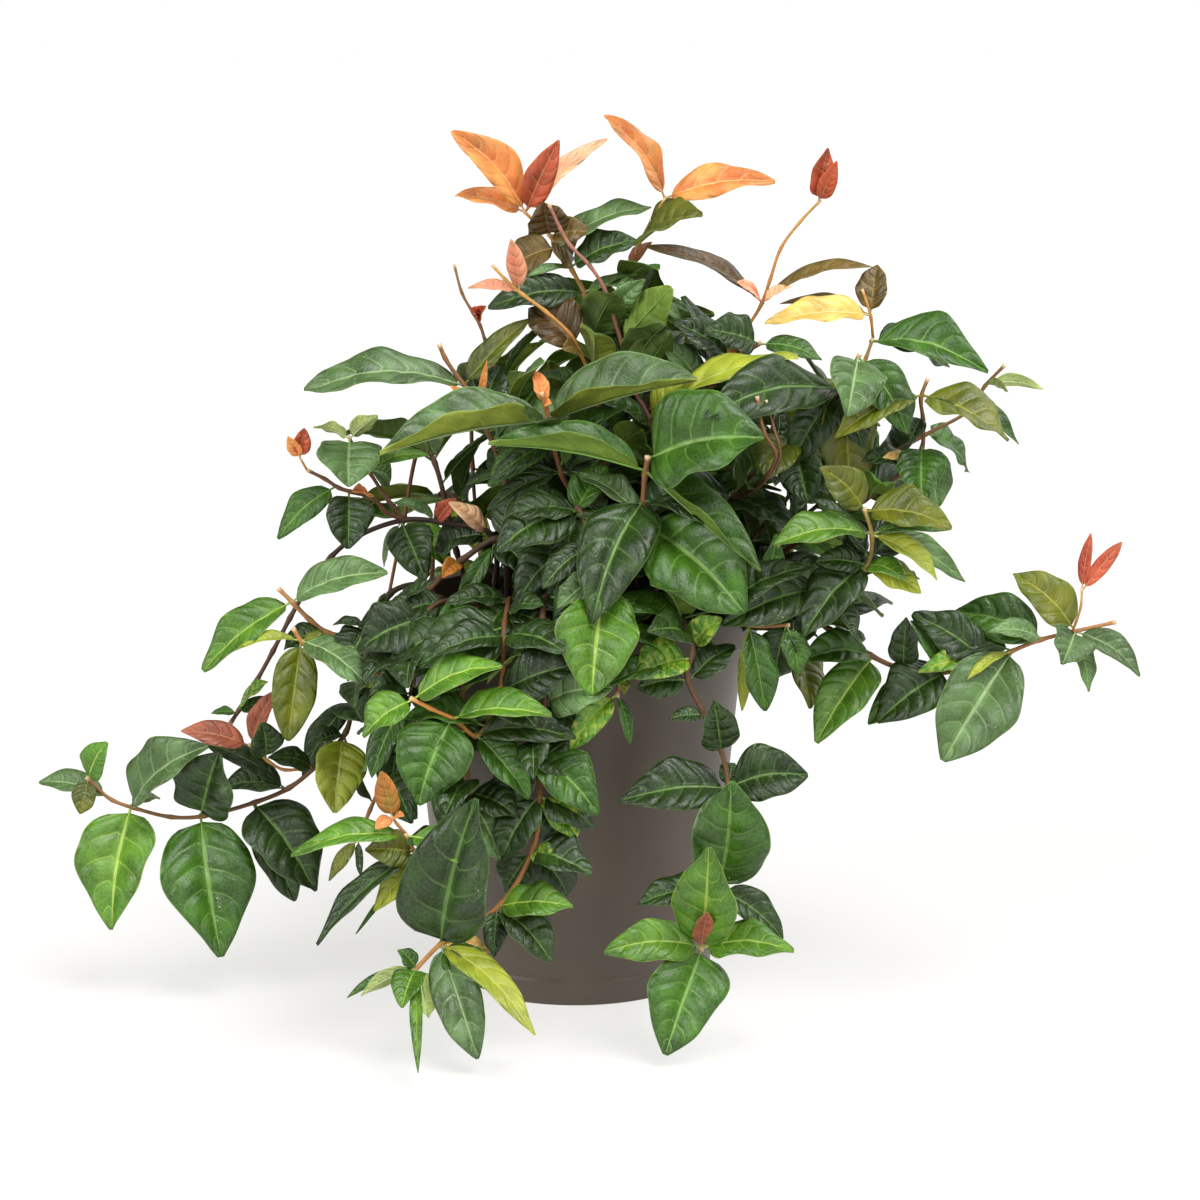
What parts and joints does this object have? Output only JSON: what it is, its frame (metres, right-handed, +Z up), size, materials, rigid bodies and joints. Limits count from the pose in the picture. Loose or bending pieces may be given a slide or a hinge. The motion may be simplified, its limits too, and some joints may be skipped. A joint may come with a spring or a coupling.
{
  "type": "potted asiatic jasmine",
  "caption": "Bushy trailing evergreen with glossy pointed leaves and copper young tips, in a plain tapered nursery pot with a deep rim.",
  "frame": {"origin": "middle of the pot's underside, on the surface it stands on", "axes": "+Z up along the pot's axis, -Y towards the viewer's front side, +X to the viewer's right"},
  "size_m": [0.5375, 0.3273, 0.4248],
  "materials": {
    "pot_plastic": "moulded polypropylene, satin",
    "potting_mix": "loose bark and peat",
    "leaf": "glossy waxy leaf with pale veins",
    "young_leaf": "soft copper young leaf"
  },
  "bodies": {
    "root": {"pot": "pot_plastic", "soil": "potting_mix", "stem_back_1": "leaf", "stem_back_2": "leaf", "stem_back_3": "leaf", "stem_back_4": "leaf", "stem_back_5": "leaf", "stem_back_6": "leaf", "stem_back_7": "leaf", "stem_back_8": "leaf", "stem_back_9": "leaf", "stem_bare": "leaf", "stem_centre": "leaf", "stem_crown_left": "leaf", "stem_crown_right": "leaf", "stem_front": "leaf", "stem_front_left": "leaf", "stem_front_low": "leaf", "stem_left_hang": "leaf", "stem_left_high": "leaf", "stem_left_node": "leaf", "stem_left_runner": "leaf", "stem_left_tip": "leaf", "stem_low_left": "leaf", "stem_orange_pair": "leaf", "stem_over_rim": "leaf", "stem_right_drop": "leaf", "stem_right_high": "leaf", "stem_right_inner": "leaf", "stem_right_mid": "leaf", "stem_right_runner": "leaf", "stem_right_short": "leaf", "stem_right_twig": "leaf", "stem_thin_left": "leaf", "stem_top_inner": "leaf", "stem_top_middle": "leaf", "stem_upper_left": "leaf", "stem_yellow": "leaf", "tip_crown_left": "young_leaf", "tip_crown_right": "young_leaf", "tip_left_bud": "young_leaf", "tip_left_red": "young_leaf", "tip_low_left": "young_leaf", "tip_orange_pair": "young_leaf", "tip_pink": "young_leaf", "tip_right_red": "young_leaf", "tip_yellow": "young_leaf"}
  },
  "joints": []
}
